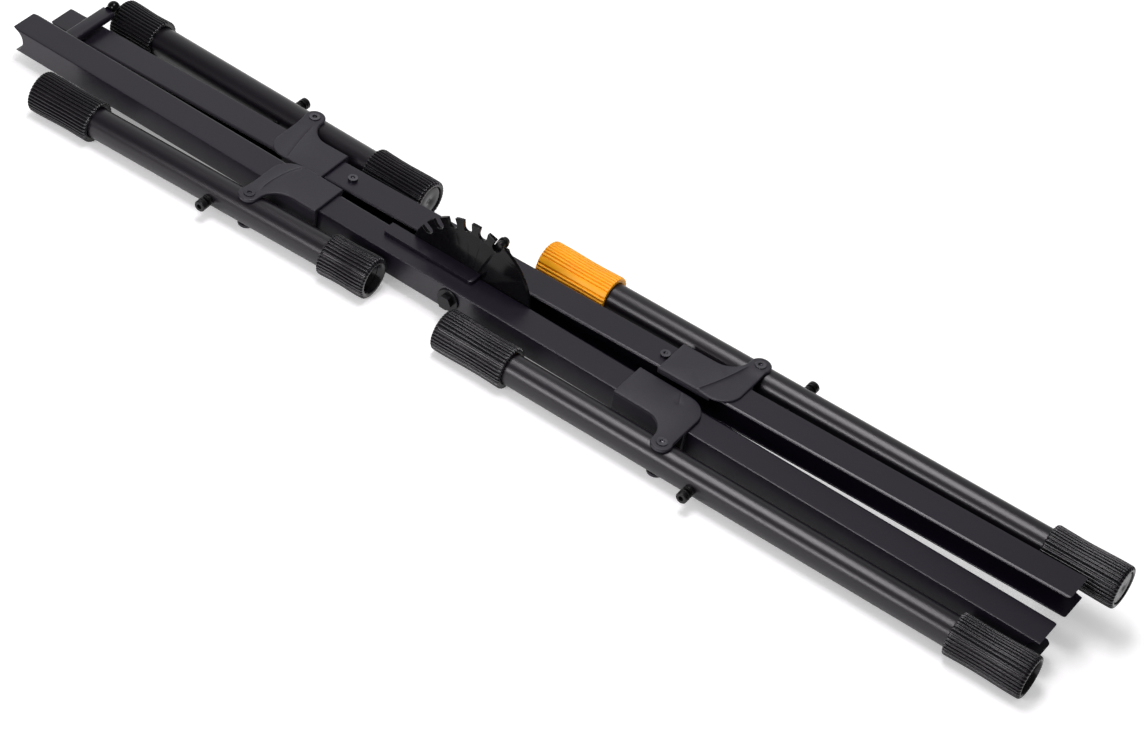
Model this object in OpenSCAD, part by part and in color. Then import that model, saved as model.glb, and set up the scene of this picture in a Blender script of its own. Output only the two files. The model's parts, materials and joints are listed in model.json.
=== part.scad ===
// Folding X-type keyboard stand, folded flat and lying on the floor.
// Two U-channel beams turn on one bolt. Each beam carries a sliding carriage at both ends, and each
// carriage holds a round tube that swivels: two short arms on the left and two long legs on the right.
// Each half is drawn in its own frame: X along the beam, Y across, Z up, origin on the pivot bolt's
// axis at the middle of the gap between the beams. The near half has negative Y.

/* [Beams] */
// Width of each channel beam across its flanges
beam_w = 26.6; // [24:0.2:28]
// Height of each channel beam
beam_h = 21.2; // [19:0.2:24]
// Sheet thickness of the beams
beam_t = 1.8; // [1.4:0.1:2.4]
// Clear gap between the two beams
beam_gap = 11.4; // [10.2:0.1:12.4]
// Reach of the near beam from the pivot to its arm end
near_back = 441; // [420:1:480]
// Reach of the far beam from the pivot to its arm end
far_back = 435; // [420:1:480]
// Reach of both beams from the pivot to their leg ends
beam_fore = 524; // [490:1:560]
// Angle between the two folded beams
open_rest = 1.8; // [1.8:0.05:2.2]

/* [Tubes] */
// Outer radius of the arm and leg tubes
tube_r = 12.7; // [12:0.1:13.5]
// Wall of the tubes
tube_wall = 1.5; // [1.2:0.1:2.5]
// Distance of the tube axes from the middle of the gap
tube_off = 56.6; // [56:0.1:60]
// Arm length from its swivel screw to its outer end, cap included
arm_out = 206; // [190:1:215]
// Arm length from its swivel screw to its inner end, cap included
arm_in = 121; // [112:0.5:126]
// Leg length from its swivel screw to its outer end, cap included
leg_out = 319.5; // [300:0.5:330]
// Leg length from its swivel screw to its inner end, cap included
leg_in = 198; // [186:1:202]

/* [Folded places] */
// Swivel screw of the near arm, from the pivot
near_arm_x = 176.5; // [172:0.5:186]
// Swivel screw of the far arm, from the pivot
far_arm_x = 201; // [197:0.5:212]
// Swivel screw of the near leg, from the pivot
near_leg_x = 213; // [211:0.5:226]
// Swivel screw of the far leg, from the pivot
far_leg_x = 226; // [224:0.5:240]
// Splay of the arms, outer ends away from the beams
arm_splay = 2.1; // [0:0.1:2.4]
// Splay of the legs, outer ends away from the beams
leg_splay = -0.6; // [-0.8:0.1:0]

/* [Caps] */
// Largest radius of the rubber end caps
cap_r = 17.5; // [16.5:0.1:18]
// Length of the end caps on the legs
cap_len = 64; // [54:1:68]
// Length of the longer end caps on the arms
arm_cap_len = 58; // [50:1:62]
// Length of the shorter end caps on the arms
short_cap_len = 43; // [38:1:52]
// Number of lengthwise ribs on a cap
rib_count = 30; // [20:2:36]
// Depth of the grooves between the ribs
rib_depth = 0.9; // [0.5:0.1:1.2]
// Thickness of a cap's closed end
cap_floor = 5; // [3:0.5:8]
// Depth of the dish in a cap's end
cap_dish = 2; // [1:0.5:2.5]

/* [Carriages] */
// Length of an arm carriage behind its swivel screw
arm_carriage = 49.5; // [44:0.5:54]
// Length of a leg carriage behind its swivel screw
leg_carriage = 57; // [50:0.5:60]
// Length of a carriage ahead of its swivel screw
carriage_nose = 7.5; // [6.5:0.5:9]
// Wall of the carriage's plates
plate_t = 2.6; // [2:0.1:2.8]
// Wall of the carriage's outer side
side_t = 4.6; // [3:0.1:5]
// Corner radius of a carriage
carriage_corner = 18; // [10:1:22]
// Radius of the ears round the swivel screw
ear_r = 8.7; // [8:0.1:9.5]
// Sliding clearance of a carriage on its beam
slide_gap = 0.25; // [0.2:0.05:0.35]

/* [Height plate] */
// Outer radius of the notched plate
plate_r = 56.5; // [50:0.5:58]
// Thickness of the notched plate
notch_plate_t = 3; // [2.5:0.1:3.2]
// Number of notches
notch_count = 6; // [4:1:6]
// Angle from one notch to the next
notch_pitch = 15.8; // [14:0.1:16.4]
// Direction of the folded notch, up from the leg side
notch_first = 68.4; // [62:0.2:74]
// Depth of the notches
notch_depth = 9.5; // [8:0.5:11]
// Radius of the lock pin
lock_pin_r = 3.3; // [2.8:0.1:3.6]
// Length of the welded foot on the near beam
foot_len = 85; // [70:1:95]
// Width of the foot
foot_w = 12.5; // [9:0.5:14]
// Thickness of the foot
foot_t = 3.5; // [3:0.1:5]

/* [Fasteners] */
// Radius of the pivot bolt's shank
bolt_r = 4; // [3.5:0.1:4.5]
// Radius of the spacer bushes
bush_r = 6.5; // [6:0.1:7]
// Corner radius of the pivot bolt's hexagon head
bolt_head_r = 6.4; // [6:0.1:7.4]
// Radius of the pivot bolt's washers
washer_r = 9.8; // [8.5:0.1:10]
// Radius of the swivel screws
swivel_r = 3; // [2.5:0.1:3.4]
// Radius of the swivel screws' heads
swivel_head_r = 4.4; // [4:0.1:5]
// Radius of the stop screws' heads on the far beam
stop_head_r = 4; // [3.5:0.1:4.2]
// Radius of the pull pins
pull_r = 2.5; // [2:0.1:3]
// Travel of the pull pins
pull_travel = 6; // [4:0.5:8]

/* [Fold bar] */
// Width of the fold bar along the beam
bar_w = 13; // [11:0.5:15]
// Thickness of the fold bar
bar_t = 6.4; // [5:0.1:6.5]
// Place of the fold bar's middle, from the pivot
bar_x = 404.5; // [402:0.5:408]
// Reach of the fold bar past the middle of the gap
bar_reach = 42; // [38:0.5:43]
// Radius of the ball on the fold bar's end
ball_r = 5.3; // [4.4:0.1:5.5]

/* [Hidden] */
$fn = 64;

powder_black = [0.20, 0.19, 0.21];
tube_black = [0.13, 0.12, 0.13];
moulded_grey = [0.25, 0.26, 0.28];
rubber_black = [0.12, 0.12, 0.12];
level_yellow = [0.99, 0.73, 0.16];
steel_bright = [0.60, 0.60, 0.62];
steel_dark = [0.15, 0.15, 0.16];

// Cuts run past a face by this much
over = 1;
// Running clearance on the radius of a shaft in its hole
run_gap = 0.08;
// Clearance where one moving piece passes another
pass_gap = 0.4;
// Clearance on the radius of the swivel screws in the tubes
swivel_gap = 0.3;
// Clearance on the radius of a cap pushed over its tube
cap_gap = 0.05;

flange_in = beam_gap / 2;
web_out = flange_in + beam_w;
web_in = web_out - beam_t;
beam_top = beam_h / 2;
arm_seat_r = beam_top * 1.03;
leg_seat_r = beam_top - beam_t / 2;
// The tubes' tops are level with the beams' tops
tube_z = beam_top - tube_r;
flange_corner = beam_w / 8;

side_out = web_out + slide_gap + side_t;
top_low = beam_top + slide_gap;
top_high = top_low + plate_t;
ear_low_top = tube_z - tube_r - pass_gap;
ear_low = ear_low_top - plate_t;
// The inner lips hook round the flanges' edges by a little more than the sheet's thickness
lip_low = beam_top - beam_t - pass_gap * 2;
lip_in = beam_gap / 6;
lip_out = flange_in - slide_gap;
ear_fillet = (tube_off - side_out) * 0.95;
low_ear_r = ear_r * 0.8;

head_t = swivel_r / 5;
recess_t = plate_t - over;
nut_r = swivel_r * 1.7;
nut_low = ear_low + over / 5;

arm_pin_t = 28.5;
leg_pin_t = 36;
knob_r = pull_r * 1.9;
knob_len = pull_r * 2.3;
knob_gap = pull_r * 0.7;
pin_bush_r = pull_r * 1.6;
pin_bush_len = pull_r * 1.1;
pin_tip = tube_r + pull_r;
pin_neck = tube_r + pin_bush_len + pass_gap;
pin_collar_r = pin_bush_r;
pin_collar_t = pull_r / 2;
pin_collar_at = -pull_r;

cap_round = cap_r / 4;
cap_lip = cap_r / 12;
dish_r = cap_r * 0.6;
leveler_gap = 0.3;

seat_r = plate_r - notch_depth + lock_pin_r;
lock_dir = notch_first - open_rest;
plate_y = -flange_in;
plate_back = plate_y + notch_plate_t;
lock_travel = notch_plate_t + pass_gap;
slide_t = notch_plate_t * 2 / 3;
slide_y = flange_in - pass_gap - slide_t;
thrust_t = slide_y - lock_travel - pass_gap - plate_back;
lock_pin_end = slide_y + slide_t + bush_r / 3;
hub_r = bush_r * 1.8;
tongue_r = lock_pin_r * 1.3;
guide_r = bush_r * 0.4;
guide_x = bush_r * 2.5;
guide_ear_r = guide_r * 1.9;

// The fold bar leaves room for the far carriage below it
bar_room = 3 * pass_gap / 4;
bar_low = top_high + bar_room - (bar_x - bar_w / 2) * sin(open_rest);
bar_mid = bar_low + bar_t / 2;
ball_z = bar_mid + ball_r * 0.45;
bar_round = bar_t / 3;

bolt_head_t = bolt_r * 1.1;
washer_t = bolt_r * 0.4;
pivot_nut_t = bolt_r * 2;
stop_y = (flange_in + web_out) / 2;
stop_head_t = stop_head_r * 0.6;
stop_shank_r = stop_head_r / 2;
near_foot_x = 9.5;
far_arm_stop_x = 133;
far_leg_stop_x = far_leg_x - leg_carriage - stop_head_r - pass_gap;

// A point on a limb's tube axis, t along it from the swivel screw, in the half's own frame
function on_limb(dir, side, x, splay, t) =
    [dir * (x + t * cos(splay)), side * (tube_off + t * sin(splay)), tube_z];
// A point of the far half, turned into the near half's frame
function from_far(p) = [
    p.x * cos(open_rest) - p.z * sin(open_rest), p.y, p.x * sin(open_rest) + p.z * cos(open_rest)
];

// The stand rests on the outer caps of the near arm, the near leg and the far arm
arm_touch = on_limb(-1, -1, near_arm_x, arm_splay, arm_out - cap_round);
leg_touch = on_limb(1, -1, near_leg_x, leg_splay, leg_out - cap_round);
far_touch = from_far(on_limb(-1, 1, far_arm_x, arm_splay, arm_out - cap_round));
floor_up = cross(leg_touch - arm_touch, far_touch - arm_touch);
rest_roll = atan2(floor_up.y, floor_up.z);
rest_pitch = -atan2(floor_up.x, norm([floor_up.y, floor_up.z]));

// Points of the placed stand that reach furthest each way set the origin
function rolled(p) = [
    p.x, p.y * cos(rest_roll) - p.z * sin(rest_roll), p.y * sin(rest_roll) + p.z * cos(rest_roll)
];
function placed(p) = let (q = rolled(p)) [
    q.x * cos(rest_pitch) + q.z * sin(rest_pitch), q.y, q.z * cos(rest_pitch) - q.x * sin(rest_pitch)
];
pin_out = pin_neck + pin_collar_t + knob_gap + knob_len;
near_pin = placed(
    on_limb(-1, -1, near_arm_x, arm_splay, arm_pin_t)
    + [0, -pin_out * cos(arm_splay), knob_r * sin(rest_roll)]
);
far_pin = placed(
    from_far(on_limb(-1, 1, far_arm_x, arm_splay, arm_pin_t))
    + [0, pin_out * cos(arm_splay), -knob_r * sin(rest_roll)]
);
lowest = placed(arm_touch).z - cap_r;
left_most = placed([-near_back, -web_out, beam_top]).x;
right_most = placed(
    from_far(on_limb(1, 1, far_leg_x, leg_splay, leg_out) + [0, 0, -cap_r + cap_round])
).x;
mid_x = (left_most + right_most) / 2;
near_edge = min(near_pin.y, placed(arm_touch).y - cap_r);
far_edge = max(far_pin.y, placed(far_touch).y + cap_r);
mid_y = (near_edge + far_edge) / 2;

module in_place() {
    translate([-mid_x, -mid_y, -lowest]) rotate([rest_roll, rest_pitch, 0]) children();
}

module on_far() {
    in_place() rotate([0, -open_rest, 0]) children();
}

// Puts a limb drawn with its beam end along +X and its outer side along +Y at its own corner
module on_limb_frame(dir, side, x) {
    mirror([dir < 0 ? 1 : 0, 0, 0]) mirror([0, side < 0 ? 1 : 0, 0]) translate([x, 0, 0]) children();
}

module along_y(y0, y1, r) {
    translate([0, y0, 0]) rotate([-90, 0, 0]) cylinder(h = y1 - y0, r = r);
}

// A tube or rod along +X from x0 to x1
module along_x(x0, x1, r) {
    translate([x0, 0, 0]) rotate([0, 90, 0]) cylinder(h = x1 - x0, r = r);
}

// Corner piece that a rounded corner of radius r takes away, with the corner at the origin
module corner_waste(r) {
    difference() {
        translate([-over, -over]) square(r + over);
        translate([r, r]) circle(r = r);
    }
}

// Channel beam on the +Y side, open to the gap, with a round seat cut into each end
module channel(back) {
    difference() {
        translate([-back, flange_in, -beam_top]) cube([back + beam_fore, beam_w, beam_h]);
        translate([-back - over, flange_in - over, -beam_top + beam_t])
            cube([back + beam_fore + 2 * over, web_in - flange_in + over, beam_h - 2 * beam_t]);
        translate([-back, 0, beam_top - arm_seat_r]) along_y(flange_in - over, web_out + over, arm_seat_r);
        translate([beam_fore, 0, 0]) along_y(flange_in - over, web_out + over, leg_seat_r);
        translate([0, 0, -beam_top - over]) linear_extrude(beam_h + 2 * over) {
            translate([-back, flange_in]) corner_waste(flange_corner);
            translate([beam_fore, flange_in]) mirror([1, 0]) corner_waste(flange_corner);
        }
        along_y(web_in - over, web_out + over, bolt_r + run_gap);
    }
}

module near_beam() {
    color(powder_black) in_place() mirror([0, 1, 0]) channel(near_back);
}

module far_beam() {
    color(powder_black) on_far() difference() {
        channel(far_back);
        translate([guide_x, 0, 0]) along_y(web_in - over, web_out + over, guide_r);
        for (x = [-far_arm_stop_x, far_leg_stop_x])
            translate([x, stop_y, beam_top - beam_t - over])
                cylinder(h = beam_t + 2 * over, r = stop_shank_r);
    }
}

// Upright plate with notches on a circle round the pivot
module notch_outline() {
    foot_cut = bush_r * 1.4;
    difference() {
        circle(r = plate_r);
        translate([-plate_r - over, -plate_r - foot_cut])
            square([2 * (plate_r + over), plate_r]);
        for (k = [0 : notch_count - 1]) rotate(notch_first + k * notch_pitch) {
            translate([plate_r - notch_depth + lock_pin_r + pass_gap, 0]) circle(r = lock_pin_r + pass_gap);
            translate([plate_r - notch_depth + lock_pin_r + pass_gap, -lock_pin_r - pass_gap])
                square([notch_depth, 2 * (lock_pin_r + pass_gap)]);
        }
        circle(r = bolt_r + run_gap);
    }
}

module notch_plate() {
    color(steel_dark) in_place()
        translate([0, plate_back, 0]) rotate([90, 0, 0]) linear_extrude(notch_plate_t) notch_outline();
}

module plate_foot() {
    foot_round = foot_w / 4;
    color(steel_dark) in_place() translate([near_foot_x - foot_len, plate_y - foot_w, beam_top])
        linear_extrude(foot_t) difference() {
            square([foot_len, foot_w]);
            corner_waste(foot_round);
            translate([foot_len, 0]) mirror([1, 0]) corner_waste(foot_round);
        }
}

module pivot_bolt() {
    color(steel_dark) in_place() {
        along_y(-web_out - washer_t, web_out + washer_t + pivot_nut_t + over, bolt_r);
        translate([0, -web_out - washer_t, 0]) rotate([90, 0, 0])
            cylinder(h = bolt_head_t, r = bolt_head_r, $fn = 6);
    }
}

module pivot_nut() {
    color(steel_dark) in_place() difference() {
        translate([0, web_out + washer_t + 2 * run_gap, 0]) rotate([-90, 0, 0])
            cylinder(h = pivot_nut_t, r = bolt_head_r, $fn = 6);
        along_y(web_out, web_out + washer_t + pivot_nut_t + 2 * over, bolt_r);
    }
}

module washer(y0, t, r) {
    difference() {
        along_y(y0, y0 + t, r);
        along_y(y0 - over, y0 + t + over, bolt_r + run_gap);
    }
}

module pivot_washers() {
    color(steel_dark) in_place() {
        washer(-web_out - washer_t, washer_t, washer_r);
        washer(web_out + run_gap, washer_t, washer_r);
    }
}

module near_bush() {
    color(steel_bright) in_place() washer(-web_in, web_in - flange_in, bush_r);
}

module thrust_washer() {
    color(steel_bright) in_place() washer(plate_back, thrust_t, bush_r * 1.3);
}

module far_bush() {
    bush_y = plate_back + thrust_t + run_gap;
    color(steel_bright) on_far() washer(bush_y, web_in - bush_y, bush_r);
}

module fold_bar() {
    color(steel_dark) in_place() translate([-bar_x, 0, bar_mid]) rotate([-90, 0, 0])
        translate([0, 0, -web_in]) linear_extrude(web_in + bar_reach)
            for (s = [-1, 1]) {
                square([bar_w - 2 * bar_round, bar_t], center = true);
                square([bar_w, bar_t - 2 * bar_round], center = true);
                for (u = [-1, 1])
                    translate([s * (bar_w / 2 - bar_round), u * (bar_t / 2 - bar_round)])
                        circle(r = bar_round);
            }
}

module fold_ball() {
    neck_r = ball_r / 2;
    color(steel_dark) in_place() translate([-bar_x, bar_reach, ball_z - neck_r / 2]) {
        along_y(0, ball_r, neck_r);
        translate([0, ball_r + over, neck_r / 2]) sphere(r = ball_r);
    }
}

module guide_pin() {
    guide_head_r = guide_r * 1.8;
    color(steel_bright) on_far() translate([guide_x, 0, 0]) {
        along_y(slide_y - lock_travel, web_out, guide_r);
        along_y(web_out, web_out + guide_r / 2, guide_head_r);
    }
}

module stop_screws() {
    color(steel_bright) on_far() for (x = [-far_arm_stop_x, far_leg_stop_x]) translate([x, stop_y, 0]) {
        translate([0, 0, beam_top - beam_t - stop_head_t])
            cylinder(h = beam_t + stop_head_t, r = stop_shank_r);
        translate([0, 0, beam_top]) difference() {
            cylinder(h = stop_head_t, r = stop_head_r);
            translate([0, 0, stop_head_t / 2]) cylinder(h = stop_head_t, r = stop_shank_r, $fn = 6);
        }
    }
}

// Arm of the lock, drawn with the pin's end along +X, bored for the far bush and the guide pin
module slide_outline() {
    difference() {
        union() {
            circle(r = hub_r);
            translate([0, -tongue_r]) square([seat_r, 2 * tongue_r]);
            translate([seat_r, 0]) circle(r = tongue_r);
            rotate(-lock_dir) {
                translate([0, -guide_ear_r]) square([guide_x, 2 * guide_ear_r]);
                translate([guide_x, 0]) circle(r = guide_ear_r);
            }
        }
        circle(r = bush_r + run_gap);
        rotate(-lock_dir) translate([guide_x, 0]) circle(r = guide_r + run_gap);
    }
}

module lock_slide() {
    color(steel_dark) on_far() translate([0, slide_y + slide_t, 0]) rotate([90, 0, 0])
        linear_extrude(slide_t) rotate(lock_dir) difference() {
            slide_outline();
            translate([seat_r, 0]) circle(r = lock_pin_r);
        }
}

// Rests behind the notched plate and slides forward into the notch in front of it
module lock_pin() {
    color(steel_bright) on_far() rotate([0, -lock_dir, 0]) translate([seat_r, 0, 0])
        along_y(plate_back + pass_gap, lock_pin_end, lock_pin_r);
}

// Plan of a carriage's top, from the square end behind to the ear beside the tube
module carriage_plan(back, r) {
    nose = min(r, carriage_nose);
    difference() {
        union() {
            translate([-back, lip_in]) square([back + carriage_nose, side_out - lip_in]);
            translate([-r, side_out - over]) square([r + nose, tube_off - side_out + over]);
            translate([0, tube_off]) circle(r = r);
            difference() {
                translate([-r - ear_fillet, side_out - over])
                    square([ear_fillet + over, ear_fillet + over]);
                translate([-r - ear_fillet, side_out + ear_fillet]) circle(r = ear_fillet);
            }
        }
        translate([carriage_nose, lip_in]) mirror([1, 0]) corner_waste(carriage_corner);
    }
}

// The part of the plan that lies outside the beam
module carriage_ear_plan(back) {
    intersection() {
        carriage_plan(back, low_ear_r);
        translate([-back, web_out + slide_gap]) square([back + 2 * ear_r, tube_off]);
    }
}

module carriage(back) {
    lip_back = back + carriage_nose - carriage_corner;
    difference() {
        union() {
            translate([0, 0, top_low]) linear_extrude(plate_t) carriage_plan(back, ear_r);
            translate([0, 0, -top_high]) linear_extrude(plate_t) intersection() {
                carriage_plan(back, ear_r);
                translate([-back, lip_in]) square([back + carriage_nose, side_out - lip_in]);
            }
            translate([0, 0, ear_low]) linear_extrude(plate_t) carriage_ear_plan(back);
            translate([-back, side_out - side_t, ear_low])
                cube([back + carriage_nose, side_t, top_high - ear_low]);
            translate([-back, lip_in, lip_low]) cube([lip_back, lip_out - lip_in, top_low - lip_low]);
            translate([-back, lip_in, -top_low]) cube([lip_back, lip_out - lip_in, top_low - lip_low]);
        }
        translate([0, tube_off, ear_low - over])
            cylinder(h = top_high - ear_low + 2 * over, r = swivel_r + run_gap);
        translate([0, tube_off, top_high - recess_t])
            cylinder(h = recess_t + over, r = swivel_head_r + run_gap);
        translate([0, tube_off, ear_low - over]) cylinder(h = recess_t + over, r = nut_r + pass_gap);
    }
}

// Cap-head screw down through both ears, its head sunk in the upper one
module swivel_screw() {
    head_low = top_high - recess_t;
    translate([0, tube_off, 0]) difference() {
        union() {
            translate([0, 0, nut_low]) cylinder(h = head_low - nut_low, r = swivel_r);
            translate([0, 0, head_low]) cylinder(h = recess_t + head_t, r = swivel_head_r);
        }
        translate([0, 0, top_high - recess_t / 2])
            cylinder(h = recess_t + head_t, r = swivel_head_r / 2, $fn = 6);
    }
}

module swivel_nut() {
    translate([0, tube_off, nut_low]) difference() {
        cylinder(h = ear_low + recess_t - nut_low, r = nut_r, $fn = 6);
        translate([0, 0, -over]) cylinder(h = plate_t + 2 * over, r = swivel_r);
    }
}

// Turns a limb's tube to its splay about the swivel screw and moves the drawing to its axis
module on_tube(splay) {
    translate([0, tube_off, tube_z]) rotate([0, 0, splay]) children();
}

module limb_tube(inner, outer, pin_t) {
    difference() {
        along_x(-inner + cap_floor, outer - cap_floor, tube_r);
        along_x(-inner, outer, tube_r - tube_wall);
        translate([0, 0, -tube_r - over]) cylinder(h = 2 * (tube_r + over), r = swivel_r + swivel_gap);
        translate([pin_t, 0, 0]) along_y(-tube_r - over, 0, pull_r + run_gap);
        translate([pin_t, 0, 0]) along_y(0, tube_r + over, pin_bush_r);
    }
}

// Section of a cap over its length, with the open end at 0 and a dished closed end
module cap_section(len, bore) {
    difference() {
        union() {
            translate([0, cap_lip]) square([cap_r - rib_depth, len - cap_lip - cap_round]);
            square([cap_r, cap_lip * 2]);
            translate([0, len - cap_round]) square([cap_r - cap_round, cap_round]);
            translate([cap_r - cap_round, len - cap_round]) circle(r = cap_round - rib_depth);
        }
        translate([0, -over]) square([bore, len - cap_floor + over]);
        translate([0, len - cap_dish]) square([dish_r, cap_dish + over]);
        translate([-cap_r, -over]) square([cap_r, len + 2 * over]);
    }
}

// Ribs stand on the cap's body from the rim to the rounding at its closed end
module cap_ribs(len) {
    rib_w = PI * cap_r / rib_count;
    difference() {
        circle(r = cap_r);
        circle(r = cap_r - rib_depth - run_gap);
        for (k = [0 : rib_count - 1]) rotate(k * 360 / rib_count)
            translate([cap_r - rib_depth, -rib_w / 2]) square([2 * rib_depth, rib_w]);
    }
}

module end_cap(len, gap) {
    rotate([0, 90, 0]) {
        rotate_extrude() cap_section(len, tube_r + gap);
        translate([0, 0, cap_lip]) linear_extrude(len - cap_lip - cap_round) cap_ribs(len);
    }
}

module outer_cap(outer, len) {
    translate([outer - len, 0, 0]) end_cap(len, cap_gap);
}

module inner_cap(inner, len, gap) {
    translate([-inner + len, 0, 0]) mirror([1, 0, 0]) end_cap(len, gap);
}

module pull_pin(pin_t) {
    translate([pin_t, 0, 0]) {
        along_y(-pin_tip, pin_neck + pin_collar_t + knob_gap, pull_r);
        along_y(pin_collar_at - pin_collar_t, pin_collar_at, pin_collar_r);
        along_y(pin_neck, pin_neck + pin_collar_t, knob_r - run_gap);
        along_y(pin_neck + pin_collar_t + knob_gap, pin_out, knob_r);
    }
}

module pin_bush(pin_t) {
    translate([pin_t, 0, 0]) difference() {
        union() {
            along_y(tube_r - tube_wall - over, tube_r + pin_bush_len, pin_bush_r);
            along_y(tube_r + pull_r / 2, tube_r + pin_bush_len, knob_r);
        }
        along_y(0, tube_r + pin_bush_len + over, pull_r + run_gap);
    }
}

// Return spring, drawn at the length it has when the pin is pulled
module pin_spring(pin_t) {
    from = pin_collar_at + pull_travel + pass_gap;
    to = tube_r - tube_wall - over;
    wire = pull_r / 5;
    translate([pin_t, 0, 0]) difference() {
        along_y(from, to, pull_r + run_gap + 2 * wire);
        along_y(from - over, to + over, pull_r + 2 * run_gap);
    }
}

module near_limb(dir, x, splay) {
    in_place() on_limb_frame(dir, -1, x) on_tube(splay) children();
}

module far_limb(dir, x, splay) {
    on_far() on_limb_frame(dir, 1, x) on_tube(splay) children();
}

module near_arm_carriage() {
    color(moulded_grey) in_place() on_limb_frame(-1, -1, near_arm_x) carriage(arm_carriage);
}

module near_arm_screw() {
    color(steel_bright) in_place() on_limb_frame(-1, -1, near_arm_x) swivel_screw();
}

module near_arm_nut() {
    color(steel_dark) in_place() on_limb_frame(-1, -1, near_arm_x) swivel_nut();
}

module near_arm_tube() {
    color(tube_black) near_limb(-1, near_arm_x, arm_splay) limb_tube(arm_in, arm_out, arm_pin_t);
}

module near_arm_outer_cap() {
    color(rubber_black) near_limb(-1, near_arm_x, arm_splay) outer_cap(arm_out, arm_cap_len);
}

module near_arm_inner_cap() {
    color(rubber_black) near_limb(-1, near_arm_x, arm_splay) inner_cap(arm_in, short_cap_len, cap_gap);
}

module near_arm_pull_pin() {
    color(steel_dark) near_limb(-1, near_arm_x, arm_splay) pull_pin(arm_pin_t);
}

module near_arm_pin_bush() {
    color(steel_dark) near_limb(-1, near_arm_x, arm_splay) pin_bush(arm_pin_t);
}

module near_arm_pin_spring() {
    color(steel_bright) near_limb(-1, near_arm_x, arm_splay) pin_spring(arm_pin_t);
}

module far_arm_carriage() {
    color(moulded_grey) on_far() on_limb_frame(-1, 1, far_arm_x) carriage(arm_carriage);
}

module far_arm_screw() {
    color(steel_bright) on_far() on_limb_frame(-1, 1, far_arm_x) swivel_screw();
}

module far_arm_nut() {
    color(steel_dark) on_far() on_limb_frame(-1, 1, far_arm_x) swivel_nut();
}

module far_arm_tube() {
    color(tube_black) far_limb(-1, far_arm_x, arm_splay) limb_tube(arm_in, arm_out, arm_pin_t);
}

module far_arm_outer_cap() {
    color(rubber_black) far_limb(-1, far_arm_x, arm_splay) outer_cap(arm_out, short_cap_len);
}

module far_arm_inner_cap() {
    color(rubber_black) far_limb(-1, far_arm_x, arm_splay) inner_cap(arm_in, arm_cap_len, cap_gap);
}

module far_arm_pull_pin() {
    color(steel_dark) far_limb(-1, far_arm_x, arm_splay) pull_pin(arm_pin_t);
}

module far_arm_pin_bush() {
    color(steel_dark) far_limb(-1, far_arm_x, arm_splay) pin_bush(arm_pin_t);
}

module far_arm_pin_spring() {
    color(steel_bright) far_limb(-1, far_arm_x, arm_splay) pin_spring(arm_pin_t);
}

module near_leg_carriage() {
    color(moulded_grey) in_place() on_limb_frame(1, -1, near_leg_x) carriage(leg_carriage);
}

module near_leg_screw() {
    color(steel_bright) in_place() on_limb_frame(1, -1, near_leg_x) swivel_screw();
}

module near_leg_nut() {
    color(steel_dark) in_place() on_limb_frame(1, -1, near_leg_x) swivel_nut();
}

module near_leg_tube() {
    color(tube_black) near_limb(1, near_leg_x, leg_splay) limb_tube(leg_in, leg_out, leg_pin_t);
}

module near_leg_outer_cap() {
    color(rubber_black) near_limb(1, near_leg_x, leg_splay) outer_cap(leg_out, cap_len);
}

module near_leg_inner_cap() {
    color(rubber_black) near_limb(1, near_leg_x, leg_splay) inner_cap(leg_in, cap_len, cap_gap);
}

module near_leg_pull_pin() {
    color(steel_dark) near_limb(1, near_leg_x, leg_splay) pull_pin(leg_pin_t);
}

module near_leg_pin_bush() {
    color(steel_dark) near_limb(1, near_leg_x, leg_splay) pin_bush(leg_pin_t);
}

module near_leg_pin_spring() {
    color(steel_bright) near_limb(1, near_leg_x, leg_splay) pin_spring(leg_pin_t);
}

module far_leg_carriage() {
    color(moulded_grey) on_far() on_limb_frame(1, 1, far_leg_x) carriage(leg_carriage);
}

module far_leg_screw() {
    color(steel_bright) on_far() on_limb_frame(1, 1, far_leg_x) swivel_screw();
}

module far_leg_nut() {
    color(steel_dark) on_far() on_limb_frame(1, 1, far_leg_x) swivel_nut();
}

module far_leg_tube() {
    color(tube_black) far_limb(1, far_leg_x, leg_splay) limb_tube(leg_in, leg_out, leg_pin_t);
}

module far_leg_outer_cap() {
    color(rubber_black) far_limb(1, far_leg_x, leg_splay) outer_cap(leg_out, cap_len);
}

module leveling_cap() {
    color(level_yellow) far_limb(1, far_leg_x, leg_splay) inner_cap(leg_in, cap_len, leveler_gap);
}

module far_leg_pull_pin() {
    color(steel_dark) far_limb(1, far_leg_x, leg_splay) pull_pin(leg_pin_t);
}

module far_leg_pin_bush() {
    color(steel_dark) far_limb(1, far_leg_x, leg_splay) pin_bush(leg_pin_t);
}

module far_leg_pin_spring() {
    color(steel_bright) far_limb(1, far_leg_x, leg_splay) pin_spring(leg_pin_t);
}

near_beam();
notch_plate();
plate_foot();
pivot_bolt();
pivot_nut();
pivot_washers();
near_bush();
thrust_washer();
fold_bar();
fold_ball();
far_beam();
far_bush();
guide_pin();
stop_screws();
lock_slide();
lock_pin();
near_arm_carriage();
near_arm_screw();
near_arm_nut();
near_arm_tube();
near_arm_outer_cap();
near_arm_inner_cap();
near_arm_pull_pin();
near_arm_pin_bush();
near_arm_pin_spring();
far_arm_carriage();
far_arm_screw();
far_arm_nut();
far_arm_tube();
far_arm_outer_cap();
far_arm_inner_cap();
far_arm_pull_pin();
far_arm_pin_bush();
far_arm_pin_spring();
near_leg_carriage();
near_leg_screw();
near_leg_nut();
near_leg_tube();
near_leg_outer_cap();
near_leg_inner_cap();
near_leg_pull_pin();
near_leg_pin_bush();
near_leg_pin_spring();
far_leg_carriage();
far_leg_screw();
far_leg_nut();
far_leg_tube();
far_leg_outer_cap();
leveling_cap();
far_leg_pull_pin();
far_leg_pin_bush();
far_leg_pin_spring();
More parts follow.
